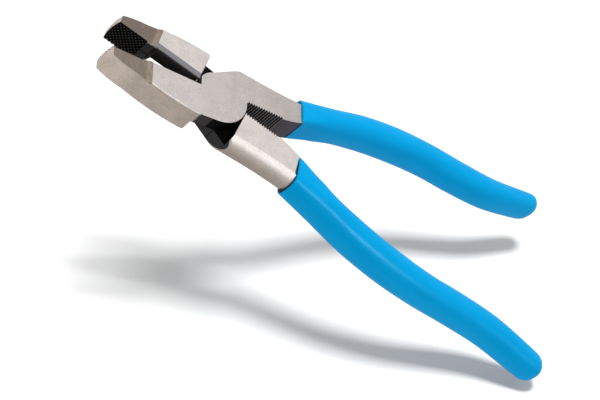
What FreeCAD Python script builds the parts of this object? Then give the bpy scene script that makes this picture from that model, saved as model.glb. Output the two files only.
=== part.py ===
"""Lineman pliers: two forged halves lapped on a flush rivet, each handle dipped in a plastic grip.

Frame: the origin is on the pivot axis in the plane of the back faces, +Z along that axis to the front
faces, +X from the pivot to the handles, so the jaws point to -X. Each half is drawn closed about its
mid-thickness, as the lower jaw (-Y) with the upper handle (+Y) and its joint leaf in front. The other half
is the same shape turned half a turn about X, with its knife on its other side. At rest the pliers stand
partly open, each half turned by half of the opening and lifted by half of the thickness.
"""

import FreeCAD, Part
import math
import os
import Sketcher

# name, value in millimetres or degrees, meaning
DIMENSIONS = [
    ("thickness", 12.8, "thickness of the jaws, the joint and the necks"),
    ("lap_gap", 0.06, "gap between the two leaves of the lap joint"),
    ("rest_opening", 15.3, "angle between the halves at rest, from closed"),
    ("jaw_gap", 0.06, "gap between the gripping faces when closed"),
    ("jaw_length", 48.5, "pivot to the crown of the nose's end"),
    ("nose_end_bow", 25, "radius of the nose's end across its thickness"),
    ("nose_end_crown", 2, "crown of that end, from mid-thickness away from the knife's side face"),
    ("nose_end_depth", 3.9, "depth of the flat end of the nose"),
    ("nose_end_round", 1.3, "corner between the nose end and the outer edge"),
    ("nose_back", 36.5, "pivot to where the nose starts to taper"),
    ("nose_depth", 8.6, "depth of the jaw where the nose starts to taper"),
    ("nose_bow", 40, "radius of the nose's outer edge"),
    ("jaw_bow", 100, "radius of the jaw's outer edge"),
    ("heel_reach", 8.4, "pivot to the jaw's heel, which the other leaf turns inside"),
    ("heel_tilt", 3.3, "slope of the heel's normal"),
    ("heel_depth", 15.6, "depth of the jaw at its heel"),
    ("heel_round", 1, "corner of the heel"),
    ("jaw_edge_round", 0.5, "long outer edges of the jaw"),
    ("disc_radius", 15, "joint disc"),
    ("hub_radius", 8.25, "joint leaf behind the jaw, on the side of the handle"),
    ("flank_angle", 29.4, "slope of the leaf's flank from the hub to the neck"),
    ("shoulder_reach", 15.4, "pivot to the shoulder that the other leaf turns inside"),
    ("shoulder_tilt", 7.4, "slope of the shoulder's normal"),
    ("crown_x", 10.7, "corner between the flank and the neck"),
    ("crown_round", 2, "round of the edge between the flank and the neck's outer side"),
    ("waist_start_x", 22, "start of the neck's hollow outer edge"),
    ("waist_start_y", 14.3, "the same, across the handle"),
    ("waist_end_x", 47, "end of the neck's hollow outer edge"),
    ("waist_end_y", 13.2, "the same, across the handle"),
    ("neck_bulge", 8.5, "radius of the neck's rounded outer side, seen along the neck"),
    ("neck_bulge_root", 1, "how far that side reaches into the neck"),
    ("inner_face", 0.8, "handle's inner face to the line between the halves"),
    ("ridge_start", 16.2, "first crimping ridge"),
    ("ridge_pitch", 1.28, "crimping ridges"),
    ("ridge_count", 14, "crimping ridges"),
    ("ridge_depth", 1, "valleys between the crimping ridges"),
    ("bend_start", 34.2, "where the inner face starts to lean away"),
    ("bend_end", 45, "where that bend ends"),
    ("bend_rise", 3, "how far the bend lifts the inner face"),
    ("bend_radius", 50, "radius of the bend"),
    ("neck_end", 50, "end of the full neck, inside the grip"),
    ("neck_end_inner", 5.4, "inner face there"),
    ("neck_end_thickness", 9.6, "thickness of the neck at its end"),
    ("knife_inset", 0.9, "cutting edge to the near side face"),
    ("knife_start", 30.5, "pivot to the start of the cutting edge"),
    ("hollow_depth", 7.0, "depth of the hollow behind the cutting edge, at the far side face"),
    ("hollow_radius", 24, "radius of the hollow's wall"),
    ("hollow_run", 3.4, "length of the hollow's sloping end wall"),
    ("hollow_shut_depth", 0.4, "depth of the hollow where that wall ends"),
    ("hollow_overrun", 1, "how far the hollow and the bevel run past the heel"),
    ("wide_bevel", 2.85, "height of the knife's outer bevel on the upper jaw"),
    ("small_bevel", 0.6, "height of the knife's outer bevel on the lower jaw"),
    ("knurl_start", 34.2, "pivot to the start of the knurled seat"),
    ("knurl_depth", 0.5, "depth of the knurled seat"),
    ("nose_relief", 0.95, "the nose's side face by the knife, ground below the jaw's"),
    ("nose_relief_x", 30.1, "pivot to the start of that relief"),
    ("nose_relief_run", 2.2, "length of the step into the relief"),
    ("rivet_radius", 4.5, "shank of the rivet"),
    ("rivet_head_radius", 6.2, "countersunk heads of the rivet"),
    ("rivet_head_depth", 2, "countersinks"),
    ("running_gap", 0.05, "rivet to the bore of the half that turns on it, radial"),
    ("grip_wall", 2.6, "grip's thickness over the tang"),
    ("cut_margin", 5, "how far cutting profiles run past the metal"),
]

# stations along a handle: name, x, centre y, half-width across the handle, half-thickness, and the share
# of the half-width that rounds the section's corners
STATIONS = [
    ("mouth", 44.2, 10.2, 7.1, 7.2, 0.29),
    ("throat", 60, 13.8, 7.2, 8.2, 0.9),
    ("shoulder", 80, 18.4, 7.3, 8.4, 0.96),
    ("palm", 100, 20.6, 7.4, 8.4, 0.96),
    ("middle", 120, 20.7, 7.2, 8.2, 0.96),
    ("fingers", 140, 18.9, 7.2, 8.1, 0.96),
    ("waist", 160, 18.1, 6.9, 8.0, 0.96),
    ("flare", 178, 20.1, 6.3, 7.8, 0.96),
    ("butt", 187, 21.4, 5.7, 7.3, 0.96),
    ("tip", 191, 22.0, 3.4, 4.9, 0.96),
]
TANG_START, TANG_END = "mouth", "flare"
# where the leaf's straight flank leaves the round hub
FLANK_X = "dims.hub_radius * sin(dims.flank_angle)"
FLANK_Y = "dims.hub_radius * cos(dims.flank_angle)"
STATION_SIZES = ("x", "centre", "wide", "thick", "round")
NEAR = 0.05  # mm, how close to its place an edge has to lie to be picked
LEAST_CUT = 0.01  # mm3, what a cut has to take away

doc = FreeCAD.newDocument("LinemanPliers")
sheet = doc.addObject("Spreadsheet::Sheet", "dims")


def fill_sheet():
    """Every driving dimension and station in its own cell, by alias."""
    rows = list(DIMENSIONS)
    for name, *values in STATIONS:
        for kind, value in zip(STATION_SIZES, values):
            rows.append((f"{name}_{kind}", value, f"grip station {name}, {kind}"))
    for row, (alias, value, meaning) in enumerate(rows, start=1):
        sheet.set(f"A{row}", meaning)
        sheet.set(f"B{row}", str(value))
        sheet.setAlias(f"B{row}", alias)
    doc.recompute()


def size(text):
    """The value of an expression over the sheet's cells."""
    return float(sheet.evalExpression(text))


def origin_plane(body, role):
    return next(f for f in body.Origin.OriginFeatures if f.Role == role)


def pin(sketch, kind, first, second, text):
    """One dimension of a sketch, driven by an expression."""
    index = sketch.addConstraint(Sketcher.Constraint(kind, *first, *second, size(text)))
    sketch.setExpression(f"Constraints[{index}]", text)


def arc_through(start, end, radius, turn):
    """The short arc from start to end. turn is 1 for counterclockwise and -1 for clockwise."""
    a, b = FreeCAD.Vector(*start, 0), FreeCAD.Vector(*end, 0)
    chord = b - a
    side = FreeCAD.Vector(-chord.y, chord.x, 0).normalize() * turn
    centre = (a + b) / 2 + side * math.sqrt(radius**2 - chord.Length**2 / 4)
    first, last = (a, b) if turn > 0 else (b, a)
    angles = [math.atan2(p.y - centre.y, p.x - centre.x) for p in (first, last)]
    circle = Part.Circle(centre, FreeCAD.Vector(0, 0, 1), radius)
    return Part.ArcOfCircle(circle, *angles)


def draw(sketch, path, closed=True):
    """An outline. Each step is (x, y) for a line or (x, y, radius, turn) for an arc that ends there.

    x, y and radius are expressions. An open outline starts at its first step, and a closed one ends there.
    """
    corners = [(size(step[0]), size(step[1])) for step in path]
    ends = {}
    for index, step in enumerate(path):
        if index == 0 and not closed:
            continue
        start, end = corners[index - 1], corners[index]
        if len(step) == 2:
            geometry = Part.LineSegment(FreeCAD.Vector(*start, 0), FreeCAD.Vector(*end, 0))
            turn = 1
        else:
            turn = step[3]
            geometry = arc_through(start, end, size(step[2]), turn)
        number = sketch.addGeometry(geometry, False)
        ends[index] = (number, 1, 2) if turn > 0 else (number, 2, 1)
    for index, (number, first, last) in ends.items():
        step = path[index]
        before = ends.get((index - 1) % len(path))
        if before:
            sketch.addConstraint(Sketcher.Constraint("Coincident", before[0], before[2], number, first))
        else:
            pin(sketch, "DistanceX", (-1, 1), (number, first), path[0][0])
            pin(sketch, "DistanceY", (-1, 1), (number, first), path[0][1])
        pin(sketch, "DistanceX", (-1, 1), (number, last), step[0])
        pin(sketch, "DistanceY", (-1, 1), (number, last), step[1])
        if len(step) > 2:
            pin(sketch, "Radius", (number,), (), step[2])


def new_sketch(body, name, role, path, offset=None, closed=True):
    """A sketch on one of the body's own origin planes, offset along the plane's normal."""
    sketch = body.newObject("Sketcher::SketchObject", name)
    sketch.AttachmentSupport = [(origin_plane(body, role), "")]
    sketch.MapMode = "FlatFace"
    if offset:
        sketch.setExpression("AttachmentOffset.Base.z", offset)
    draw(sketch, path, closed)
    return sketch


def cut(body, name, role, path, length=None, offset=None, towards_normal=False):
    """A pocket from a plane, through all or to a length, that has to take metal away."""
    before = body.Tip.Shape.Volume
    pocket = body.newObject("PartDesign::Pocket", name)
    pocket.Profile = new_sketch(body, name + "Sketch", role, path, offset)
    if length == "both ways":
        pocket.Type = "ThroughAll"
        pocket.Midplane = True
    elif length:
        pocket.Type = "Length"
        pocket.setExpression("Length", length)
    else:
        pocket.Type = "ThroughAll"
    pocket.Reversed = towards_normal
    doc.recompute()
    if not pocket.Shape.Volume < before - LEAST_CUT:
        raise RuntimeError(f"{name} cuts nothing")
    return pocket


def round_edges(body, name, radius, wanted):
    """A fillet on the edges of the body's last feature that wanted picks."""
    base = body.Tip
    names = [f"Edge{i}" for i, edge in enumerate(base.Shape.Edges, start=1) if wanted(edge)]
    if not names:
        raise RuntimeError(f"{name} finds no edge")
    fillet = body.newObject("PartDesign::Fillet", name)
    fillet.Base = (base, names)
    fillet.setExpression("Radius", radius)
    doc.recompute()
    return fillet


def is_upright(edge, x, y):
    """True for a straight edge along Z at x, y."""
    ends = [v.Point for v in edge.Vertexes]
    return len(ends) == 2 and all(math.hypot(p.x - x, p.y - y) < NEAR for p in ends)


def heel_x(y):
    return f"-(dims.heel_reach + {y} * sin(dims.heel_tilt)) / cos(dims.heel_tilt)"


def shoulder_x(y):
    return f"(dims.shoulder_reach - {y} * sin(dims.shoulder_tilt)) / cos(dims.shoulder_tilt)"


def flank_y(x):
    return f"({FLANK_Y} + ({x} + {FLANK_X}) * tan(dims.flank_angle))"


def half_outline():
    """The closed outline of a half from the nose round the joint leaf to the end of the neck and back."""
    return [
        ("-dims.jaw_length", "-dims.jaw_gap / 2"),
        ("-dims.hub_radius", "-dims.jaw_gap / 2"),
        (f"-{FLANK_X}", FLANK_Y, "dims.hub_radius", -1),
        ("dims.crown_x", flank_y("dims.crown_x")),
        ("dims.waist_start_x", "dims.waist_start_y"),
        ("dims.waist_end_x", "dims.waist_end_y", waist_radius(), 1),
        ("dims.neck_end", neck_end_outer()),
        ("dims.neck_end", "dims.neck_end_inner"),
        ("dims.bend_end", "dims.inner_face + dims.bend_rise"),
        ("dims.bend_start", "dims.inner_face", "dims.bend_radius", -1),
        ("sqrt(dims.disc_radius ^ 2 - dims.inner_face ^ 2)", "dims.inner_face"),
        ("0", "-dims.disc_radius", "dims.disc_radius", -1),
        (heel_x("-dims.heel_depth"), "-dims.heel_depth"),
        ("-dims.nose_back", "-dims.nose_depth", "dims.jaw_bow", -1),
        ("-dims.jaw_length", "-dims.nose_end_depth", "dims.nose_bow", -1),
    ]


def crown_fall():
    """Slope of the neck's outer edge from its corner with the flank to the hollow stretch."""
    return f"(({flank_y('dims.crown_x')} - dims.waist_start_y) / (dims.waist_start_x - dims.crown_x))"


def waist_turn():
    """Half the turn of the neck's hollow edge, so that it leaves the straight edge before it smoothly."""
    fall = f"atan({crown_fall()})"
    rise = "atan((dims.waist_end_y - dims.waist_start_y) / (dims.waist_end_x - dims.waist_start_x))"
    return f"({fall} + {rise})", rise


def waist_radius():
    turn, rise = waist_turn()
    return f"((dims.waist_end_x - dims.waist_start_x) / cos({rise}) / (2 * sin({turn})))"


def neck_end_outer():
    turn, rise = waist_turn()
    return f"dims.waist_end_y + (dims.neck_end - dims.waist_end_x) * tan({turn} + {rise})"


def lap_recess():
    """What the other half's leaf turns in: heel line, shoulder line and two ends past the metal."""
    low = "-(dims.disc_radius + dims.cut_margin)"
    high = "(dims.disc_radius + dims.cut_margin)"
    return [(heel_x(low), low), (heel_x(high), high), (shoulder_x(high), high), (shoulder_x(low), low)]


def thinning(x_near, x_step, x_far, depth, sign):
    """A strip in the XZ plane that thins one side face by depth from x_step to x_far, from 0 at x_near."""
    face = "dims.thickness / 2"
    outside = f"({face} + dims.cut_margin)"
    strip = [
        (x_near, f"({face})"),
        (x_step, f"({face} - {depth})"),
        (x_far, f"({face} - {depth})"),
        (x_far, outside),
        (x_near, outside),
    ]
    return [(x, f"{sign} * {z}") for x, z in strip]


def beyond_nose(side):
    """All beyond the nose's end in the XZ plane. That end is bowed, with its crown away from the knife."""
    high = "(dims.thickness / 2 + dims.cut_margin / 5)"
    past_x = "(-dims.jaw_length - dims.cut_margin)"

    def end_x(z):
        from_crown = f"({z} + {side} * dims.nose_end_crown)"
        return f"(dims.nose_end_bow - dims.jaw_length - sqrt(dims.nose_end_bow ^ 2 - {from_crown} ^ 2))"

    return [
        (past_x, f"-{high}"),
        (end_x(f"-{high}"), f"-{high}"),
        (end_x(high), high, "dims.nose_end_bow", -1),
        (past_x, high),
    ]


def add_neck_bulge(body):
    """The neck's rounded outer side, run along its outer edge into the grip and cut off by the flank."""
    start_x = "dims.hub_radius / 2"
    start_y = f"({flank_y('dims.crown_x')} + (dims.crown_x - {start_x}) * {crown_fall()})"
    edge = [
        (start_x, start_y),
        ("dims.waist_start_x", "dims.waist_start_y"),
        ("dims.waist_end_x", "dims.waist_end_y", waist_radius(), 1),
    ]
    face = "dims.thickness / 2"
    section = [
        (f"{start_y} - dims.neck_bulge_root", f"-{face}"),
        (start_y, f"-{face}"),
        (start_y, face, "dims.neck_bulge", 1),
        (f"{start_y} - dims.neck_bulge_root", face),
    ]
    pipe = body.newObject("PartDesign::AdditivePipe", "NeckBulge")
    pipe.Profile = new_sketch(body, "NeckBulgeSection", "YZ_Plane", section, start_x)
    pipe.Spine = (new_sketch(body, "NeckEdge", "XY_Plane", edge, closed=False), ["Edge1", "Edge2"])
    body.Tip = pipe
    doc.recompute()
    past_x = "(dims.crown_x + 2 * dims.cut_margin)"
    high = "3 * dims.disc_radius"
    beyond = [(f"-{FLANK_X}", FLANK_Y), (past_x, flank_y(past_x)), (past_x, high), (f"-{FLANK_X}", high)]
    cut(body, "FlankCut", "XY_Plane", beyond, "both ways")

    def on_crown(edge):
        points = [v.Point for v in edge.Vertexes]
        points.append(edge.valueAt(sum(edge.ParameterRange) / 2))
        on_flank = all(abs(p.y - size(flank_y(p.x))) < NEAR for p in points)
        return on_flank and all(p.x > size("dims.crown_x") - NEAR for p in points)

    round_edges(body, "CrownRound", "dims.crown_round", on_crown)


def add_ridges(body):
    """Transverse V valleys that leave crimping ridges on the handle's inner face."""
    half = "dims.ridge_pitch / 2"
    valley = [
        (f"dims.ridge_start - {half}", "dims.inner_face"),
        ("dims.ridge_start", "dims.inner_face + dims.ridge_depth"),
        (f"dims.ridge_start + {half}", "dims.inner_face"),
        (f"dims.ridge_start + {half}", "dims.jaw_gap / 2"),
        (f"dims.ridge_start - {half}", "dims.jaw_gap / 2"),
    ]
    first = cut(body, "RidgeValley", "XY_Plane", valley, "both ways")
    pattern = body.newObject("PartDesign::LinearPattern", "RidgeValleys")
    pattern.Originals = [first]
    pattern.Direction = (first.Profile[0], ["H_Axis"])
    pattern.setExpression("Length", "dims.ridge_pitch * (dims.ridge_count - 1)")
    pattern.setExpression("Occurrences", "dims.ridge_count")
    body.Tip = pattern
    doc.recompute()


def add_knife(body, side, bevel):
    """The cutting edge by one side face: a hollow open to the other side, and a bevel on the near side."""
    edge_z = f"({side} * (dims.thickness / 2 - dims.knife_inset))"
    far_z = f"(-{side} * (dims.thickness / 2 + dims.cut_margin / 5))"
    out_y = "dims.cut_margin / 5"

    def section(name, depth, x):
        wall = [
            ("0", edge_z),
            (f"-{depth}", far_z, "dims.hollow_radius", side),
            (out_y, far_z),
            (out_y, edge_z),
        ]
        return new_sketch(body, name, "YZ_Plane", wall, x)

    loft = body.newObject("PartDesign::SubtractiveLoft", "KnifeHollow")
    open_end = section("HollowOpenEnd", "dims.hollow_depth", "-dims.heel_reach + dims.hollow_overrun")
    full_end = section("HollowFullEnd", "dims.hollow_depth", "-dims.knife_start + dims.hollow_run")
    shut_end = section("HollowShutEnd", "dims.hollow_shut_depth", "-dims.knife_start")
    loft.Profile = open_end
    loft.Sections = [full_end, shut_end]
    loft.Ruled = True
    body.Tip = loft
    doc.recompute()
    face_z = f"({side} * dims.thickness / 2)"
    past_z = f"({side} * (dims.thickness / 2 + dims.cut_margin))"
    wedge = [
        (f"-{bevel}", face_z),
        ("0", edge_z),
        ("dims.cut_margin", edge_z),
        ("dims.cut_margin", past_z),
        (f"-{bevel}", past_z),
    ]
    run = "dims.knife_start - dims.heel_reach + dims.hollow_overrun"
    cut(body, "KnifeBevel", "YZ_Plane", wedge, run, "-dims.knife_start", towards_normal=True)


def add_bore(body, gap):
    """The rivet's bore with its countersink, widened by gap."""
    top = "(dims.thickness / 2 + dims.cut_margin)"
    slope = "(dims.rivet_head_radius - dims.rivet_radius) / dims.rivet_head_depth"
    path = [
        ("0", f"-{top}"),
        (f"dims.rivet_radius + {gap}", f"-{top}"),
        (f"dims.rivet_radius + {gap}", "dims.thickness / 2 - dims.rivet_head_depth"),
        (f"dims.rivet_head_radius + {gap} + dims.cut_margin * {slope}", top),
        ("0", top),
    ]
    groove = body.newObject("PartDesign::Groove", "RivetBore")
    groove.Profile = new_sketch(body, "RivetBoreSketch", "XZ_Plane", path)
    groove.ReferenceAxis = (groove.Profile[0], ["V_Axis"])
    groove.Angle = 360
    doc.recompute()


def forged_half(name, side, bevel, gap):
    """One forging without its tang. side is 1 with the knife by its own front face, -1 by its back face."""
    body = doc.addObject("PartDesign::Body", name)
    pad = body.newObject("PartDesign::Pad", "Blank")
    pad.Profile = new_sketch(body, "BlankSketch", "XY_Plane", half_outline())
    pad.Midplane = True
    pad.setExpression("Length", "dims.thickness")
    doc.recompute()
    add_neck_bulge(body)

    def on_jaw(edge):
        box = edge.BoundBox
        on_face = abs(abs(box.ZMin) - size("dims.thickness") / 2) < NEAR and box.ZLength < NEAR
        before_heel = box.XMax < size(heel_x("-dims.heel_depth")) + NEAR
        return on_face and before_heel and box.YMax < -size("dims.nose_end_depth") + NEAR

    round_edges(
        body,
        "NoseEndRound",
        "dims.nose_end_round",
        lambda e: is_upright(e, -size("dims.jaw_length"), -size("dims.nose_end_depth")),
    )
    round_edges(body, "JawRound", "dims.jaw_edge_round", on_jaw)
    cut(body, "LapRecess", "XY_Plane", lap_recess(), None, "dims.lap_gap / 2")
    heel = (size(heel_x("-dims.heel_depth")), -size("dims.heel_depth"))
    round_edges(
        body,
        "HeelRound",
        "dims.heel_round",
        lambda e: is_upright(e, *heel) and e.BoundBox.ZMin < 0,
    )
    relief = thinning(
        "-dims.nose_relief_x",
        "-dims.nose_relief_x - dims.nose_relief_run",
        "-dims.jaw_length - dims.cut_margin",
        "dims.nose_relief",
        side,
    )
    cut(body, "NoseRelief", "XZ_Plane", relief, "both ways")
    cut(body, "NoseEnd", "XZ_Plane", beyond_nose(side), "both ways")
    for face, sign in (("Front", 1), ("Back", -1)):
        taper = thinning(
            "dims.mouth_x",
            "dims.neck_end",
            "dims.neck_end + dims.cut_margin",
            "(dims.thickness - dims.neck_end_thickness) / 2",
            sign,
        )
        cut(body, f"NeckTaper{face}", "XZ_Plane", taper, "both ways")
    add_ridges(body)
    seat = [
        ("-dims.knurl_start", "dims.cut_margin"),
        ("-dims.knurl_start", "-dims.knurl_depth"),
        ("-dims.jaw_length - dims.cut_margin", "-dims.knurl_depth"),
        ("-dims.jaw_length - dims.cut_margin", "dims.cut_margin"),
    ]
    cut(body, "KnurlSeat", "XY_Plane", seat, "both ways")
    add_knife(body, side, bevel)
    add_bore(body, gap)
    return body


def bar(name, first, last, inset):
    """A loft along the handle through the stations from first to last, inset from the grip's outside."""
    names = [station[0] for station in STATIONS]
    sections = []
    for station in names[names.index(first) : names.index(last) + 1]:
        section = doc.addObject("Sketcher::SketchObject", f"{name}_{station}")
        section.Placement = FreeCAD.Placement(
            FreeCAD.Vector(size(f"dims.{station}_x"), 0, 0),
            FreeCAD.Rotation(FreeCAD.Vector(0, 1, 0), FreeCAD.Vector(0, 0, 1), FreeCAD.Vector(1, 0, 0)),
        )
        section.setExpression("Placement.Base.x", f"dims.{station}_x")
        draw(section, rounded_box(station, inset))
        sections.append(section)
    loft = doc.addObject("Part::Loft", name)
    loft.Sections = sections
    loft.Solid = True
    doc.recompute()
    return loft


def rounded_box(station, inset):
    """A section across the handle: a box with round corners."""
    wide = f"(dims.{station}_wide - {inset})"
    thick = f"(dims.{station}_thick - {inset})"
    corner = f"({wide} * dims.{station}_round)"
    left, right = f"dims.{station}_centre - {wide}", f"dims.{station}_centre + {wide}"
    return [
        (f"{right} - {corner}", f"-{thick}"),
        (right, f"-{thick} + {corner}", corner, 1),
        (right, f"{thick} - {corner}"),
        (f"{right} - {corner}", thick, corner, 1),
        (f"{left} + {corner}", thick),
        (left, f"{thick} - {corner}", corner, 1),
        (left, f"-{thick} + {corner}"),
        (f"{left} + {corner}", f"-{thick}", corner, 1),
    ]


def turn_to_rest(piece, lower):
    """Turns a piece drawn closed to its rest place, on the lower jaw's half or on the upper jaw's."""
    if lower:
        piece.Placement = FreeCAD.Placement(FreeCAD.Vector(), FreeCAD.Rotation(FreeCAD.Vector(0, 0, 1), 1))
        piece.setExpression("Placement.Rotation.Angle", "dims.rest_opening / 2")
    else:
        tilt = math.radians(size("dims.rest_opening") / 4)
        axis = FreeCAD.Vector(math.cos(tilt), -math.sin(tilt), 0)
        piece.Placement = FreeCAD.Placement(FreeCAD.Vector(), FreeCAD.Rotation(axis, 180))
    piece.setExpression("Placement.Base.z", "dims.thickness / 2")
    doc.recompute()


def make_half(label, name, lower):
    """A forged half with its tang, and the grip that is dipped on the tang, both in their rest places."""
    side, bevel = (1, "dims.small_bevel") if lower else (-1, "dims.wide_bevel")
    forging = forged_half(name + "Forging", side, bevel, "0" if lower else "dims.running_gap")
    tang = bar(name + "Tang", TANG_START, TANG_END, "dims.grip_wall")
    sleeve = bar(name + "Sleeve", STATIONS[0][0], STATIONS[-1][0], "0")
    for piece in (forging, tang, sleeve):
        turn_to_rest(piece, lower)
    half = doc.addObject("Part::Fuse", name)
    half.Label = label
    half.Base = forging
    half.Tool = tang
    grip = doc.addObject("Part::Cut", name + "Grip")
    grip.Base = sleeve
    grip.Tool = half
    return half, grip


def make_rivet(label):
    """The rivet: its front head tight in the lower jaw's half, its back head free in the upper jaw's."""
    body = doc.addObject("PartDesign::Body", "PivotRivet")
    body.Label = label
    face = "dims.thickness / 2"
    path = [
        ("0", f"-{face}"),
        ("dims.rivet_head_radius", f"-{face}"),
        ("dims.rivet_radius", f"-({face} - dims.rivet_head_depth)"),
        ("dims.rivet_radius", f"{face} - dims.rivet_head_depth"),
        ("dims.rivet_head_radius", face),
        ("0", face),
    ]
    turned = body.newObject("PartDesign::Revolution", "Turned")
    turned.Profile = new_sketch(body, "TurnedSketch", "XZ_Plane", path)
    turned.ReferenceAxis = (turned.Profile[0], ["V_Axis"])
    turned.Angle = 360
    body.setExpression("Placement.Base.z", "dims.thickness / 2")
    doc.recompute()
    return body


def check_document():
    for thing in doc.Objects:
        if "Invalid" in thing.State or "Error" in thing.State:
            raise RuntimeError(f"{thing.Name} failed: {thing.State}")


def export(pieces):
    os.makedirs("parts", exist_ok=True)
    for piece in pieces:
        shape = piece.Shape
        if shape.isNull() or not shape.isValid() or len(shape.Solids) != 1:
            raise RuntimeError(f"{piece.Label} is not one valid solid")
        shape.exportStep(f"parts/{piece.Label}.step")
        print(piece.Label, round(shape.Volume), "mm3", len(shape.Faces), "faces")


fill_sheet()
lower_half, upper_grip = make_half("lower_jaw_half", "LowerJawHalf", True)
upper_grip.Label = "upper_handle_grip"
upper_half, lower_grip = make_half("upper_jaw_half", "UpperJawHalf", False)
lower_grip.Label = "lower_handle_grip"
rivet = make_rivet("pivot_rivet")
doc.recompute()
check_document()
export([lower_half, upper_half, rivet, upper_grip, lower_grip])
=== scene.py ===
"""Looks of the lineman pliers: ground and blackened steel halves, cut teeth, glossy dipped grips."""

import math

import bpy
import numpy as np
from mathutils import Matrix, Vector


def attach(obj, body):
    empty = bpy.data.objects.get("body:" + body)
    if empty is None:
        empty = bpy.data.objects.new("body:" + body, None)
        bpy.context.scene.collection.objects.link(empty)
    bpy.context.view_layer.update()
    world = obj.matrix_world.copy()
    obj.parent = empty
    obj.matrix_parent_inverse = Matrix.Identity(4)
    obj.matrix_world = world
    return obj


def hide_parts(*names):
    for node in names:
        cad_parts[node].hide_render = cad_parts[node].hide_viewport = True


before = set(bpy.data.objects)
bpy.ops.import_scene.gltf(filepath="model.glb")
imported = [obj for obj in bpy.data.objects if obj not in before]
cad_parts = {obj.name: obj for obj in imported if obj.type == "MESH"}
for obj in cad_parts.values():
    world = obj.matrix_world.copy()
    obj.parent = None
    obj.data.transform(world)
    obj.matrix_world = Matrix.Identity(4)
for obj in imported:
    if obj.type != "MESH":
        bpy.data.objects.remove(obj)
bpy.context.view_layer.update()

MM = 0.001
HALF_OPENING = 15.3 / 2  # degrees that each half is turned from closed at rest
THICKNESS = 12.8
DISC_RADIUS = 15.0
RIDGES_START, INNER_FLAT_START = 15.4, 33.5
FACE = THICKNESS / 2
RIVET_HEAD = 6.2

# the forged halves drawn closed, in millimetres and degrees, as the lower jaw with the upper handle
FLANK_ANGLE, HUB_RADIUS = 29.4, 8.25  # the lap joint's flank touches the hub's circle
SHOULDER_TILT, SHOULDER_REACH = 7.4, 15.4  # lean of its normal, and how far off the pivot it passes
HEEL_TILT, HEEL_REACH = 3.3, 8.4
HOLLOW_START, HOLLOW_END, HOLLOW_DEEPEST = -30.7, -7.4, -8.2
CUTTING_EDGE_Z = 5.45  # the knife's edge, from the mid-thickness
NOSE_FACE = 5.45  # the thinned nose's face, from the mid-thickness
NOSE_STEP, NOSE_STEP_END = -30.1, -32.3
NOSE_BOW, NOSE_CROWN, JAW_LENGTH = 25.0, 2.0, 48.5
JAW_END = -7.0  # the jaw's inner face ends here, at the joint

# the knurl: crossed V grooves leave pyramids, whose tips and groove crossings form one square grid
TEETH_FROM, TEETH_TO = -48.4, -34.25
TEETH_ROOT, TEETH_VALLEY, TEETH_TIP = -0.7, -0.45, -0.03
TEETH_COLUMNS, TEETH_ROWS = 16, 12
NOSE_SKIN = 0.05  # the knurl stays this far inside the nose's end

# a grip's sections: x, centre y, half-width, half-thickness, squareness on the inner and on the outer side
GRIP_SECTIONS = [
    (43.5, 10.1, 7.1, 7.3, 9.0, 3.2),
    (50.0, 11.6, 7.1, 7.7, 4.5, 2.7),
    (60.0, 13.8, 7.2, 8.2, 2.5, 2.3),
    (80.0, 18.4, 7.3, 8.4, 2.3, 2.3),
    (100.0, 20.6, 7.4, 8.4, 2.3, 2.3),
    (120.0, 20.7, 7.2, 8.2, 2.3, 2.3),
    (140.0, 18.9, 7.2, 8.1, 2.3, 2.3),
    (160.0, 18.1, 6.9, 8.0, 2.3, 2.3),
    (178.0, 20.1, 6.3, 7.8, 2.3, 2.3),
    (191.0, 22.0, 5.7, 7.5, 2.3, 2.3),
]
# where each dip ends on its neck, and how far its edge leans away across the handle
UPPER_MOUTH, LOWER_MOUTH = (43.5, 0.0), (45.0, 0.11)
MOUTH_TILT_RUN = 7.0  # length of handle over which the lean fades
LIP = ((0.05, 2.2), (0.0, 0.9), (0.1, 0.35), (0.35, 0.0))  # depth along the handle, inset
LIP_RUN = 0.7  # the plain rings start this far from the mouth
GRIP_CAP = 7.0  # length of the rounded end
GRIP_CAP_POWER = 2.5
CAP_RINGS, CAP_LEAST = 14, 0.02


# ---------------------------------------------------------------- meshes


def place_half(points, lower):
    """Closed millimetres to metres at rest, on the lower jaw's half or on the upper jaw's."""
    turn = math.radians(HALF_OPENING)
    p = np.asarray(points, dtype=float)
    x = p[:, 0] * math.cos(turn) - p[:, 1] * math.sin(turn)
    y = p[:, 0] * math.sin(turn) + p[:, 1] * math.cos(turn)
    side = 1 if lower else -1
    return np.column_stack([x, side * y, side * p[:, 2] + FACE]) * MM


def add_mesh(name, points, faces, body, mat, smooth):
    mesh = bpy.data.meshes.new(name)
    mesh.from_pydata([tuple(p) for p in points], [], faces)
    mesh.validate()
    mesh.polygons.foreach_set("use_smooth", [smooth] * len(mesh.polygons))
    mesh.materials.append(mat)
    piece = bpy.data.objects.new(name, mesh)
    bpy.context.scene.collection.objects.link(piece)
    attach(piece, body)
    return piece


def nose_end(z, side):
    """X of the nose's bowed end at a height in the half's thickness. side is 1 with the knife at +Z."""
    return NOSE_BOW - JAW_LENGTH - math.sqrt(NOSE_BOW**2 - (z + side * NOSE_CROWN) ** 2)


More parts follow.
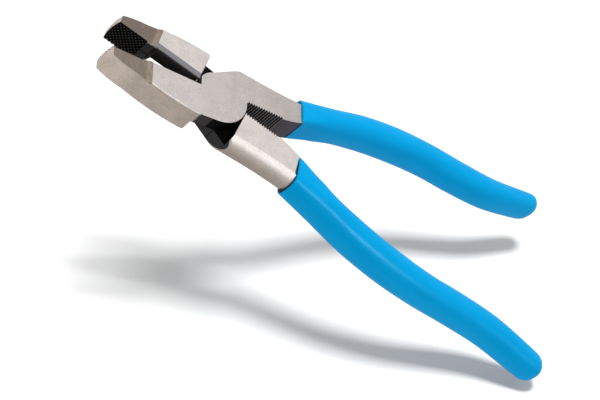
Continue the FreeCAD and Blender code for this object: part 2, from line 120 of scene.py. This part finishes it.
def teeth_mesh(side):
    """The knurled block: a checkerboard of tips and groove crossings over a flat root."""
    xs = np.linspace(TEETH_FROM, TEETH_TO, TEETH_COLUMNS + 1)
    low, high = (-FACE, NOSE_FACE) if side > 0 else (-NOSE_FACE, FACE)
    zs = np.linspace(low, high, TEETH_ROWS + 1)
    points, faces = [], []
    for i, x in enumerate(xs):
        for j, z in enumerate(zs):
            inside = max(x, nose_end(z, side) + NOSE_SKIN)
            points.append((inside, TEETH_VALLEY if (i + j) % 2 == 0 else TEETH_TIP, z))
    rows = len(zs)
    for i in range(TEETH_COLUMNS):
        for j in range(TEETH_ROWS):
            a, b = i * rows + j, (i + 1) * rows + j
            c, d = b + 1, a + 1
            if (i + j) % 2 == 0:
                faces += [(a, c, b), (a, d, c)]
            else:
                faces += [(a, d, b), (b, d, c)]
    rim = [i * rows for i in range(len(xs))]
    rim += [TEETH_COLUMNS * rows + j for j in range(1, rows)]
    rim += [i * rows + rows - 1 for i in range(TEETH_COLUMNS - 1, -1, -1)]
    rim += [j for j in range(rows - 2, 0, -1)]
    base = len(points)
    for index in rim:
        x, _, z = points[index]
        points.append((x, TEETH_ROOT, z))
    count = len(rim)
    for k in range(count):
        n = (k + 1) % count
        faces.append((rim[k], rim[n], base + n, base + k))
    faces.append(tuple(range(base, base + count)))
    return points, faces


def smooth_between(xs, table):
    """Each column of the table at xs, by a smooth curve through its rows."""
    rows = np.array(table, dtype=float)
    knots = rows[:, 0]
    cell = np.clip(np.searchsorted(knots, xs, side="right") - 1, 0, len(knots) - 2)
    step = knots[cell + 1] - knots[cell]
    t = (xs - knots[cell]) / step
    columns = []
    for values in rows[:, 1:].T:
        slope = np.gradient(values, knots)
        columns.append(
            values[cell] * (1 + 2 * t) * (1 - t) ** 2
            + values[cell + 1] * t**2 * (3 - 2 * t)
            + slope[cell] * step * t * (1 - t) ** 2
            - slope[cell + 1] * step * t**2 * (1 - t)
        )
    return columns


def grip_mesh(mouth, around=72, along=120):
    """A closed dipped sleeve: end face with a rounded lip at the mouth, smooth body, rounded end."""
    (start, tilt), end = mouth, GRIP_SECTIONS[-1][0]
    cap_start = end - GRIP_CAP
    rings = [(start + depth, inset, 1.0) for depth, inset in LIP]
    rings += [(x, 0.0, 1.0) for x in np.linspace(start + LIP_RUN, cap_start, along)]
    for s in np.sin(np.linspace(0, math.pi / 2, CAP_RINGS + 1)[1:]):
        scale = (1 - s**GRIP_CAP_POWER) ** (1 / GRIP_CAP_POWER)
        rings.append((cap_start + s * GRIP_CAP, 0.0, max(CAP_LEAST, scale)))
    xs = np.array([ring[0] for ring in rings])
    centre, wide, thick, square_in, square_out = smooth_between(xs, GRIP_SECTIONS)
    points, faces = [], []
    for k, (x, inset, scale) in enumerate(rings):
        w, t = (wide[k] - inset) * scale, (thick[k] - inset) * scale
        lean = tilt * max(0.0, 1 - (x - start) / MOUTH_TILT_RUN) ** 2
        for a in np.linspace(0, 2 * math.pi, around, endpoint=False):
            ca, sa = math.cos(a), math.sin(a)
            power = 2 / (square_out[k] if ca > 0 else square_in[k])
            y = w * math.copysign(abs(ca) ** power, ca)
            z = t * math.copysign(abs(sa) ** power, sa)
            points.append((x + lean * y, centre[k] + y, z))
    for k in range(len(rings) - 1):
        for i in range(around):
            n = (i + 1) % around
            faces.append((k * around + i, k * around + n, (k + 1) * around + n, (k + 1) * around + i))
    faces.append(tuple(range(around - 1, -1, -1)))
    last = (len(rings) - 1) * around
    faces.append(tuple(range(last, last + around)))
    return points, faces


# ---------------------------------------------------------------- node helpers


class Shader:
    """The node tree of a material or of the world, with short calls for the nodes used here."""

    def __init__(self, owner, output="ShaderNodeOutputMaterial"):
        self.owner = owner
        owner.use_nodes = True
        self.tree = owner.node_tree
        self.tree.nodes.clear()
        self.out = self.node(output)

    def node(self, kind, **values):
        made = self.tree.nodes.new(kind)
        for key, value in values.items():
            setattr(made, key, value)
        return made

    def feed(self, socket, value):
        if isinstance(value, bpy.types.NodeSocket):
            self.tree.links.new(value, socket)
        elif value is not None:
            socket.default_value = value

    def math(self, operation, a, b=None):
        made = self.node("ShaderNodeMath", operation=operation)
        for socket, value in zip(made.inputs, (a, b)):
            self.feed(socket, value)
        return made.outputs[0]

    def times(self, *factors):
        """The product of numbers. Of masks, it is where they all hold."""
        total = factors[0]
        for factor in factors[1:]:
            total = self.math("MULTIPLY", total, factor)
        return total

    def any(self, *masks):
        total = masks[0]
        for mask in masks[1:]:
            total = self.math("MAXIMUM", total, mask)
        return total

    def outside(self, mask):
        return self.math("SUBTRACT", 1.0, mask)

    def vector(self, operation, a, b=None, scale=None):
        made = self.node("ShaderNodeVectorMath", operation=operation)
        self.feed(made.inputs[0], a)
        if b is not None:
            self.feed(made.inputs[1], b)
        if scale is not None:
            made.inputs["Scale"].default_value = scale
        return made.outputs["Value" if operation in ("DOT_PRODUCT", "LENGTH") else "Vector"]

    def triple(self, values):
        """A vector from three numbers, or from one number three times."""
        made = self.node("ShaderNodeCombineXYZ")
        values = values if isinstance(values, tuple) else (values, values, values)
        for socket, value in zip(made.inputs, values):
            self.feed(socket, value)
        return made.outputs[0]

    def split(self, vector):
        made = self.node("ShaderNodeSeparateXYZ")
        self.feed(made.inputs[0], vector)
        return made.outputs

    def turned(self, vector, degrees):
        """The vector turned about Z."""
        made = self.node("ShaderNodeVectorRotate", rotation_type="Z_AXIS")
        self.feed(made.inputs["Vector"], vector)
        made.inputs["Angle"].default_value = math.radians(degrees)
        return made.outputs[0]

    def from_axis(self, vector):
        """Distance from the Z axis."""
        return self.vector("LENGTH", self.vector("MULTIPLY", vector, (1, 1, 0)))

    def noise(self, vector, scale, detail=2.0, rough=0.5):
        made = self.node("ShaderNodeTexNoise")
        self.feed(made.inputs["Vector"], vector)
        made.inputs["Scale"].default_value = scale
        made.inputs["Detail"].default_value = detail
        made.inputs["Roughness"].default_value = rough
        return made.outputs["Fac"]

    def stretched(self, vector, scales, detail=2.0, rough=0.5):
        """Noise with its own scale along each axis."""
        return self.noise(self.vector("MULTIPLY", vector, scales), 1.0, detail, rough)

    def ramp(self, value, low, high, to_low=0.0, to_high=1.0, smooth=False):
        kind = "SMOOTHSTEP" if smooth else "LINEAR"
        made = self.node("ShaderNodeMapRange", interpolation_type=kind)
        for socket, x in zip(made.inputs, (value, low, high, to_low, to_high)):
            self.feed(socket, x)
        return made.outputs[0]

    def swing(self, noise, least, most):
        """A noise's usual range spread from least to most."""
        return self.ramp(noise, 0.3, 0.7, least, most)

    def above(self, value, limit, soft=0.04):
        return self.ramp(value, limit - soft, limit + soft)

    def below(self, value, limit, soft=0.04):
        return self.ramp(value, limit - soft, limit + soft, 1.0, 0.0)

    def near(self, value, limit):
        return self.below(self.math("ABSOLUTE", value), limit)

    def blend(self, factor, a, b):
        """Mixes two colours by a factor."""
        made = self.node("ShaderNodeMix", data_type="RGBA")
        self.feed(made.inputs["Factor"], factor)
        for key, value in (("A", a), ("B", b)):
            socket = [s for s in made.inputs if s.name == key and s.type == "RGBA"][0]
            self.feed(socket, value if isinstance(value, bpy.types.NodeSocket) else (*value, 1.0))
        return [s for s in made.outputs if s.type == "RGBA"][0]

    def mix(self, factor, a, b):
        """Mixes two numbers by a factor."""
        made = self.node("ShaderNodeMix", data_type="FLOAT")
        self.feed(made.inputs["Factor"], factor)
        for key, value in (("A", a), ("B", b)):
            socket = [s for s in made.inputs if s.name == key and s.type == "VALUE"][0]
            self.feed(socket, value)
        return [s for s in made.outputs if s.type == "VALUE"][0]

    def bump(self, height, depth_mm, normal=None):
        made = self.node("ShaderNodeBump")
        made.inputs["Strength"].default_value = 1.0
        made.inputs["Distance"].default_value = depth_mm * MM
        self.feed(made.inputs["Height"], height)
        if normal is not None:
            self.feed(made.inputs["Normal"], normal)
        return made.outputs[0]

    def principled(self, **values):
        made = self.node("ShaderNodeBsdfPrincipled")
        for key, value in values.items():
            socket = made.inputs[key.replace("_", " ")]
            if isinstance(value, tuple):
                value = (*value, 1.0)
            self.feed(socket, value)
        self.tree.links.new(made.outputs[0], self.out.inputs["Surface"])
        return self.owner


def new_material(name):
    return Shader(bpy.data.materials.new(name))


def object_mm(s):
    """Object coordinates in millimetres."""
    return s.vector("SCALE", s.node("ShaderNodeTexCoord").outputs["Object"], scale=1 / MM)


def closed_mm(s, lower):
    """Object coordinates turned back to the closed half, in millimetres."""
    place = s.vector("SUBTRACT", object_mm(s), (0, 0, FACE))
    if not lower:
        place = s.vector("MULTIPLY", place, (1, -1, -1))
    return s.turned(place, -HALF_OPENING)


# ---------------------------------------------------------------- materials

STEEL = (0.63, 0.585, 0.555)
# painted shade: the thinned nose faces are coloured darker and browner, standing in for their different
# reflection
LOWER_NOSE_PAINTED_SHADE, UPPER_NOSE_PAINTED_SHADE = (0.27, 0.228, 0.186), (0.235, 0.19, 0.16)
STEP_STEEL = (0.43, 0.33, 0.24)
# painted shade: the knife's bevel is coloured darker and bluer, standing in for its different reflection
BEVEL_PAINTED_SHADE = (0.25, 0.25, 0.27)
# painted highlight along the edges
EDGE_HIGHLIGHT_STEEL = (0.9, 0.87, 0.83)
SEAM_STEEL, SEAM_SHOWS = (0.12, 0.11, 0.10), 0.12
BLACK_OXIDE, RUBBED_OXIDE = (0.012, 0.012, 0.013), (0.022, 0.022, 0.024)
# painted shade: the oxide in the joint's corners and the knife's hollow is coloured blacker
OXIDE_PAINTED_SHADE = (0.0012, 0.0012, 0.0012)
GROOVE_OXIDE, CREST_OXIDE = (0.006, 0.006, 0.006), (0.22, 0.21, 0.205)
INNER_FLAT_OXIDE = (0.044, 0.040, 0.052)
TOOTH_OXIDE, TIP_OXIDE = (0.0018, 0.0018, 0.0016), (0.12, 0.12, 0.115)
GRIP_BLUES = (0.0, 0.254, 0.530), (0.0, 0.276, 0.575)
# painted shadow: the dark line where the dip meets the neck
MOUTH_SHADOW_BLUE = (0.004, 0.03, 0.055)
GRIP_GLOSS = (0.4, 0.95, 1.0)

ON_PLANE = 0.08  # a point this near a plane is on it
HAIR, SOFT_HAIR = 0.02, 0.03  # the sharpest borders
OXIDE_DEPTH = 0.62  # how far below the closing plane the jaw's oxide reaches
OXIDE_TOP = 11.0  # the joint's outer sides are ground above this
SHADED_CORNER_END = 16.5  # the painted shade in the joint's corner ends here
BEVEL_DEPTH = 3.0  # the knife's bevel ends above this depth below the closing plane
# the ridges, their crests and the flat behind them all lie below these
RIDGES_TOP, CREST_TOP, INNER_FLAT_TOP = 2.0, 1.2, 6.0
SEAM_WIDTH = 0.09
EDGE_BEVEL_AND_HIGHLIGHT = 0.2  # radius of the bevelled edges' shading, and how wide the painted edge highlights are
GRAIN_DEPTH, TOOTH_GRAIN_DEPTH, PEEL_DEPTH = 0.012, 0.02, 0.10
# angle, scale across, scale along
FACE_GRAIN, NOSE_GRAIN, RIVET_GRAIN = (12.0, 5.0, 0.35), (118.0, 3.2, 0.12), (20.0, 5.0, 0.35)
# from, to, and the brightness at each: along X on the lower half's face and on the sides, along Y on the
# upper half's face
LOWER_FACE_BRIGHTNESS, UPPER_FACE_BRIGHTNESS = (-20.0, 38.0, 1.08, 0.84), (-12.0, 5.0, 1.14, 1.2)
JAW_SIDE_BRIGHTNESS = (-14.0, -6.0, 1.17, 1.0)
# painted reflection: the nose's sides are this much brighter
NOSE_SIDE_END, NOSE_SIDE_REFLECTION = -38.0, 1.26


def grain(s, place, angle, across, along):
    """Grinding lines that run at an angle in the face's plane."""
    return s.stretched(s.turned(place, -angle), (along, across, across * 0.4), 3.0, 0.6)


class Zones:
    """Masks for one half's zones, from a place on the closed half."""

    def __init__(self, s, place, lower):
        x, y, z = s.split(place)
        knife_z = z if lower else s.math("MULTIPLY", z, -1.0)
        wobble = s.times(s.math("SUBTRACT", s.noise(place, 1.3, 3.0), 0.5), 0.5)

        def line(angle, reach):
            """Distance from a line whose normal leans by an angle, given at reach from the pivot."""
            normal = (math.cos(math.radians(angle)), math.sin(math.radians(angle)), 0)
            return s.math("SUBTRACT", s.vector("DOT_PRODUCT", place, normal), reach)

        # ground
        height = s.math("ADD", s.math("ABSOLUTE", z), s.times(wobble, 0.12))
        self.face = s.above(height, FACE - 0.06, SOFT_HAIR)
        self.nose = s.times(s.below(x, NOSE_STEP), s.above(knife_z, NOSE_FACE - 0.07, SOFT_HAIR))
        self.step = s.times(self.nose, s.above(x, NOSE_STEP_END, 0.3))
        self.flat = s.any(self.face, self.nose)
        knife_run = s.times(s.above(x, HOLLOW_START), s.below(x, HOLLOW_END))
        past_edge = s.above(knife_z, CUTTING_EDGE_Z - HAIR, HAIR)
        under_face = s.below(knife_z, FACE - SOFT_HAIR, HAIR)
        self.bevel = s.times(past_edge, under_face, s.above(y, -BEVEL_DEPTH), knife_run)
        radius = s.from_axis(place)
        self.seam = s.times(self.face, s.near(s.math("SUBTRACT", radius, RIVET_HEAD), SEAM_WIDTH))

        # oxide
        flank = s.near(line(90 + FLANK_ANGLE, HUB_RADIUS), ON_PLANE)
        shoulder = s.near(line(SHOULDER_TILT, SHOULDER_REACH), ON_PLANE)
        heel = s.near(line(HEEL_TILT, -HEEL_REACH), ON_PLANE)
        recess_floor = s.times(s.near(z, 0.2), s.below(line(SHOULDER_TILT, SHOULDER_REACH), 0.1))
        leaf_edge = s.near(s.math("SUBTRACT", radius, DISC_RADIUS), 0.15)
        jaw = s.times(s.below(x, JAW_END), s.above(y, -OXIDE_DEPTH))
        hollow = s.times(knife_run, s.above(y, HOLLOW_DEEPEST), s.below(knife_z, CUTTING_EDGE_Z))
        behind_heel = s.above(s.math("ADD", x, wobble), JAW_END - 0.2)
        joint = s.times(behind_heel, s.any(s.below(y, OXIDE_TOP), flank, shoulder, recess_floor))
        black = s.times(s.outside(self.face), s.any(jaw, hollow, joint, heel))
        self.black = s.times(black, s.outside(s.times(self.nose, s.below(y, -HAIR))))
        # painted shade: the joint's corners and the knife's hollow are coloured blacker than the oxide
        shaded_corner = s.times(s.any(shoulder, leaf_edge, recess_floor), s.below(x, SHADED_CORNER_END))
        self.painted_shade = s.any(hollow, shaded_corner)
        self.ridges = s.times(s.above(x, RIDGES_START), s.below(x, INNER_FLAT_START), s.below(y, RIDGES_TOP))
        self.inner_flat = s.times(s.above(x, INNER_FLAT_START), s.below(y, INNER_FLAT_TOP))


def ground_tint(s, place, zones, lines, lower):
    """Brightness of the ground steel: clouds, grinding lines, brightness that ramps along each half, and a
    painted reflection that lightens the nose's sides.
    """
    x, y, _ = s.split(place)
    wide_clouds = s.swing(s.noise(place, 0.16, 3.0), 0.92, 1.05)
    small_clouds = s.swing(s.noise(place, 1.1, 2.0), 0.92, 1.06)
    darkest, brightest = s.mix(zones.nose, 0.89, 0.70), s.mix(zones.nose, 1.09, 1.27)
    # the brightness ramps along each half
    face_drift = s.ramp(x, *LOWER_FACE_BRIGHTNESS) if lower else s.ramp(y, *UPPER_FACE_BRIGHTNESS)
    jaw_side = s.ramp(x, *JAW_SIDE_BRIGHTNESS)
    # painted reflection: the nose's sides are lighter
    nose_side = s.times(s.below(x, NOSE_SIDE_END, 3.0), s.outside(zones.nose))
    brightness_drift = s.times(s.mix(zones.flat, jaw_side, face_drift), s.mix(nose_side, 1.0, NOSE_SIDE_REFLECTION))
    ground = s.ramp(lines, 0.25, 0.75, darkest, brightest)
    return s.times(wide_clouds, small_clouds, ground, s.mix(zones.nose, brightness_drift, 1.0))


def ground_steel(s, zones, tint, edge, lower):
    """Colour of the ground steel, with the nose and the knife's bevel in painted shade, the nose's step,
    painted highlights along the edges and the rivet's seam.
    """
    # the nose gets its painted shade
    steel = s.blend(zones.nose, STEEL, LOWER_NOSE_PAINTED_SHADE if lower else UPPER_NOSE_PAINTED_SHADE)
    steel = s.blend(s.times(zones.step, 0.6), steel, STEP_STEEL)
    steel = s.vector("MULTIPLY", steel, s.triple(tint))
    # the knife's bevel gets its painted shade
    steel = s.blend(zones.bevel, steel, BEVEL_PAINTED_SHADE)
    flatness = s.vector("DOT_PRODUCT", edge, s.node("ShaderNodeNewGeometry").outputs["Normal"])
    # painted highlight: the edges are brightened where the bevelled normal turns away from the face's
    steel = s.blend(s.ramp(flatness, 0.99, 0.85, 0.0, 0.5), steel, EDGE_HIGHLIGHT_STEEL)
    return s.blend(s.times(zones.seam, SEAM_SHOWS), steel, SEAM_STEEL)


def black_oxide(s, place, zones, fine):
    """Colour of the oxide: rubbed grey in spots, blackest in the joint's corners and the knife's hollow
    where shade is painted, bright on the ridges' crests.
    """
    y = s.split(place)["Y"]
    oxide = s.blend(s.ramp(fine, 0.35, 0.8), BLACK_OXIDE, RUBBED_OXIDE)
    # the oxide gets its painted shade
    oxide = s.blend(s.times(zones.painted_shade, 0.9), oxide, OXIDE_PAINTED_SHADE)
    crest = s.below(s.math("ADD", y, s.times(fine, 0.3)), CREST_TOP, 0.12)
    oxide = s.blend(zones.ridges, oxide, s.blend(crest, GROOVE_OXIDE, CREST_OXIDE))
    return s.blend(zones.inner_flat, oxide, INNER_FLAT_OXIDE)


def steel_half(name, lower):
    """A forged half: ground outside, black oxide where no wheel reached."""
    s = new_material(name)
    place = closed_mm(s, lower)
    zones = Zones(s, place, lower)
    fine = s.noise(place, 9.0, 2.0)
    nose_lines = grain(s, place, *NOSE_GRAIN)
    side_lines = s.stretched(place, (0.25, 0.25, 5.0), 3.0, 0.6)
    lines = s.mix(zones.flat, side_lines, s.mix(zones.nose, grain(s, place, *FACE_GRAIN), nose_lines))
    bevel = s.node("ShaderNodeBevel", samples=4)
    bevel.inputs["Radius"].default_value = EDGE_BEVEL_AND_HIGHLIGHT * MM
    edge = bevel.outputs[0]

    steel = ground_steel(s, zones, ground_tint(s, place, zones, lines, lower), edge, lower)
    steel_rough = s.mix(zones.nose, s.swing(lines, 0.30, 0.40), 0.42)
    steel_height = s.mix(zones.nose, lines, s.times(nose_lines, 3.0))
    return s.principled(
        Base_Color=s.blend(zones.black, steel, black_oxide(s, place, zones, fine)),
        Metallic=s.mix(zones.black, 1.0, 0.0),
        Roughness=s.mix(zones.black, steel_rough, s.swing(fine, 0.42, 0.56)),
        # less reflection where shade is painted
        Specular_IOR_Level=s.mix(zones.painted_shade, 0.28, 0.02),
        Normal=s.bump(s.mix(zones.black, steel_height, s.times(fine, 2.0)), GRAIN_DEPTH, edge),
    )


def teeth_steel(name, lower):
    """The knurl's oxide, rubbed grey at the tips."""
    s = new_material(name)
    place = closed_mm(s, lower)
    fine = s.noise(place, 7.0, 3.0)
    height = s.math("ADD", s.split(place)["Y"], s.times(fine, 0.1))
    tip = s.ramp(height, TEETH_TIP - 0.14, TEETH_TIP + 0.05)
    return s.principled(
        Base_Color=s.blend(s.times(tip, 0.6), TOOTH_OXIDE, TIP_OXIDE),
        Roughness=s.swing(fine, 0.42, 0.6),
        Specular_IOR_Level=s.mix(tip, 0.03, 0.4),
        Normal=s.bump(fine, TOOTH_GRAIN_DEPTH),
    )


def rivet_steel(name):
    """The rivet's flush heads, ground with the faces, and the faint seam round them."""
    s = new_material(name)
    place = object_mm(s)
    lines = grain(s, place, *RIVET_GRAIN)
    tint = s.triple(s.ramp(lines, 0.25, 0.75, 0.91, 1.04))
    seam = s.above(s.from_axis(place), RIVET_HEAD - SEAM_WIDTH, 0.05)
    steel = s.vector("MULTIPLY", s.triple(STEEL), tint)
    return s.principled(
        Base_Color=s.blend(s.times(seam, SEAM_SHOWS), steel, SEAM_STEEL),
        Metallic=1.0,
        Roughness=s.swing(lines, 0.31, 0.41),
        Normal=s.bump(lines, GRAIN_DEPTH),
    )


def grip_plastic(name, lower, mouth):
    """Glossy dipped vinyl: a faint orange peel, slow runs along the handle and a painted shadow line at the
    mouth.
    """
    s = new_material(name)
    place = closed_mm(s, lower)
    start, tilt = mouth
    _, centre_y, half_width, *_ = GRIP_SECTIONS[0]
    inner_side = centre_y - half_width + 0.5
    from_end = s.math("SUBTRACT", s.vector("DOT_PRODUCT", place, (1, -tilt, 0)), start - tilt * centre_y)
    # painted shadow along the mouth's edge and on its inner side
    inner_mouth_shadow = s.times(s.below(s.split(place)["Y"], inner_side, 0.2), s.below(from_end, 0.45, 0.1))
    painted_mouth_shadow = s.any(s.below(from_end, SOFT_HAIR, SOFT_HAIR), inner_mouth_shadow)
    cloud = s.stretched(place, (0.05, 0.16, 0.16))
    peel = s.noise(place, 0.9)
    runs = s.stretched(place, (0.03, 0.35, 0.35), 1.0)
    return s.principled(
        Base_Color=s.blend(painted_mouth_shadow, s.blend(s.swing(cloud, 0.0, 1.0), *GRIP_BLUES), MOUTH_SHADOW_BLUE),
        Roughness=s.swing(peel, 0.30, 0.36),
        Specular_IOR_Level=0.045,
        Specular_Tint=GRIP_GLOSS,
        Normal=s.bump(s.math("ADD", s.times(peel, 0.25), runs), PEEL_DEPTH),
    )


# ---------------------------------------------------------------- the pliers


def dress(node_name, mat):
    """Gives a CAD node its material."""
    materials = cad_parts[node_name].data.materials
    materials.clear()
    materials.append(mat)


def add_half(lower, jaw, handle, mouth):
    """One half with its knurl and its grip. The lower jaw's half carries the upper handle."""
    body = jaw + "_jaw"
    dress(body + "_half", steel_half(body + "_half_steel", lower))

    points, faces = teeth_mesh(1 if lower else -1)
    mat = teeth_steel(body + "_teeth_black", lower)
    add_mesh(body + "_teeth", place_half(points, lower), faces, body, mat, False)

    points, faces = grip_mesh(mouth)
    name = handle + "_grip_sleeve"
    mat = grip_plastic(name + "_blue", lower, mouth)
    sleeve = add_mesh(name, place_half(points, lower), faces, body, mat, True)
    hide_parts(handle + "_handle_grip")
    return sleeve


sleeves = [add_half(True, "lower", "upper", UPPER_MOUTH), add_half(False, "upper", "lower", LOWER_MOUTH)]
dress("pivot_rivet", rivet_steel("rivet_steel"))
metal = [thing for thing in bpy.context.scene.objects if thing.type == "MESH" and thing not in sleeves]

# ---------------------------------------------------------------- camera

LENS, SENSOR = 78.3, 36
EYE = Vector((-0.1820, -0.3615, 0.3478 + FACE * MM))
RIGHT = Vector((0.7866, 0.0884, 0.6111))
UP = Vector((-0.4405, 0.7739, 0.4550))
BACK = Vector((-0.4327, -0.6270, 0.6477))

camera = bpy.data.objects.new("camera", bpy.data.cameras.new("camera"))
bpy.context.scene.collection.objects.link(camera)
camera.data.sensor_width = SENSOR
camera.data.lens = LENS
camera.data.clip_start, camera.data.clip_end = 0.01, 20
turn = Matrix((RIGHT, UP, BACK)).transposed().to_4x4()
camera.matrix_world = Matrix.Translation(EYE) @ turn
bpy.context.scene.camera = camera

# ---------------------------------------------------------------- floor

FLOOR_NORMAL = Vector((-0.55, 0.20, 0.811)).normalized()
FLOOR_HEIGHT = -0.1164  # along its normal, from the origin
FLOOR_HALF = 0.6
FLOOR_SHADES = 0.49, 0.495


def white_floor():
    """A nearly even matt grey that its light turns white. It is clear from below."""
    s = new_material("floor_white")
    shade = s.swing(s.noise(s.node("ShaderNodeTexCoord").outputs["Object"], 3.0), *FLOOR_SHADES)
    s.principled(Base_Color=s.triple(shade), Roughness=0.9, Specular_IOR_Level=0.1)
    surface = s.out.inputs["Surface"].links[0].from_socket
    mixer = s.node("ShaderNodeMixShader")
    s.feed(mixer.inputs[0], s.node("ShaderNodeNewGeometry").outputs["Backfacing"])
    s.feed(mixer.inputs[1], surface)
    s.feed(mixer.inputs[2], s.node("ShaderNodeBsdfTransparent").outputs[0])
    s.feed(s.out.inputs["Surface"], mixer.outputs[0])
    return s.owner


def add_floor():
    """A pale sheet under the pliers."""
    mesh = bpy.data.meshes.new("floor")
    corners = [(i * FLOOR_HALF, j * FLOOR_HALF, 0) for i, j in ((-1, -1), (1, -1), (1, 1), (-1, 1))]
    mesh.from_pydata(corners, [], [(0, 1, 2, 3)])
    mesh.materials.append(white_floor())
    sheet = bpy.data.objects.new("floor", mesh)
    bpy.context.scene.collection.objects.link(sheet)
    lean = FLOOR_NORMAL.to_track_quat("Z", "Y").to_matrix().to_4x4()
    sheet.matrix_world = Matrix.Translation(FLOOR_NORMAL * FLOOR_HEIGHT) @ lean
    sheet.visible_glossy = False
    return sheet


floor = add_floor()

# ---------------------------------------------------------------- light

MIDDLE = Vector((0.06, 0, FACE * MM))
# the way each light shines, and how far from the middle it stands
KEY_WAY, SLEEVE_KEY_WAY, KEY_AWAY = (0.349, 0.343, -0.872), (0.20, -0.45, -0.87), 1.2
STRIP_WAY, STRIP_AWAY = (-0.12, 0.59, -0.79), 0.8
FLOOR_KEY_PLACE = Vector((-0.691, 0.011, 1.498))
LOW_REFLECTED, HIGH_REFLECTED = (0.50, 0.45, 0.40), (0.96, 0.96, 0.97)
LOW_DIFFUSE, HIGH_DIFFUSE = (0.70, 0.70, 0.70), (0.98, 0.98, 0.98)
SEEN_WHITE = (1.05, 1.05, 1.05)
NECK_BOX_WAY, NECK_BOX_REACH = (0.235, -0.825, 0.515), 29


def away(direction, distance):
    """The place from which a light shines in a direction on the middle of the pliers."""
    return MIDDLE - Vector(direction).normalized() * distance


def area_light(name, place, width, height, power, lit):
    """A soft box aimed at the middle of the pliers. It lights only some things; all cast its shadows."""
    data = bpy.data.lights.new(name, "AREA")
    data.shape = "RECTANGLE"
    data.size, data.size_y = width, height
    data.energy = power
    lamp = bpy.data.objects.new(name, data)
    bpy.context.scene.collection.objects.link(lamp)
    aim = (MIDDLE - place).to_track_quat("-Z", "Y").to_matrix().to_4x4()
    lamp.matrix_world = Matrix.Translation(place) @ aim
    lamp.visible_glossy = False
    group = bpy.data.collections.new(name + "_lights")
    for thing in lit:
        group.objects.link(thing)
    lamp.light_linking.receiver_collection = group
    return lamp


key_place, sleeve_key_place = away(KEY_WAY, KEY_AWAY), away(SLEEVE_KEY_WAY, KEY_AWAY)
area_light("key", key_place, width=0.3, height=0.3, power=5, lit=metal)
area_light("sleeve_key", sleeve_key_place, width=0.5, height=0.5, power=9.5, lit=sleeves)
area_light("floor_key", FLOOR_KEY_PLACE, width=0.3, height=0.3, power=48, lit=[floor])
# the strip shows only as a reflection in the grips
strip = area_light("strip", away(STRIP_WAY, STRIP_AWAY), width=0.34, height=0.16, power=16, lit=sleeves)
strip.visible_glossy, strip.visible_diffuse = True, False


def soft_box(s, way, middle, reach):
    """1 where a direction is near the middle of a soft box, falling to 0 at a reach in degrees."""
    aim = s.vector("DOT_PRODUCT", way, tuple(Vector(middle).normalized()))
    return s.ramp(aim, math.cos(math.radians(reach)), math.cos(math.radians(reach / 5)), smooth=True)


def studio_world():
    """Pale all round: white to the camera, a soft gradient for light, darker from below."""
    world = bpy.data.worlds.new("studio")
    s = Shader(world, "ShaderNodeOutputWorld")
    way = s.node("ShaderNodeTexCoord").outputs["Generated"]
    height = s.ramp(s.split(way)["Z"], -0.9, 0.75, smooth=True)
    glow = s.triple(soft_box(s, way, NECK_BOX_WAY, NECK_BOX_REACH))
    reflected = s.vector("ADD", s.blend(height, LOW_REFLECTED, HIGH_REFLECTED), glow)
    rays = s.node("ShaderNodeLightPath").outputs
    seen = s.blend(rays["Is Glossy Ray"], s.blend(height, LOW_DIFFUSE, HIGH_DIFFUSE), reflected)
    background = s.node("ShaderNodeBackground")
    s.feed(background.inputs[0], s.blend(rays["Is Camera Ray"], seen, SEEN_WHITE))
    s.feed(s.out.inputs["Surface"], background.outputs[0])
    bpy.context.scene.world = world


studio_world()
bpy.context.scene.view_settings.view_transform = "Standard"
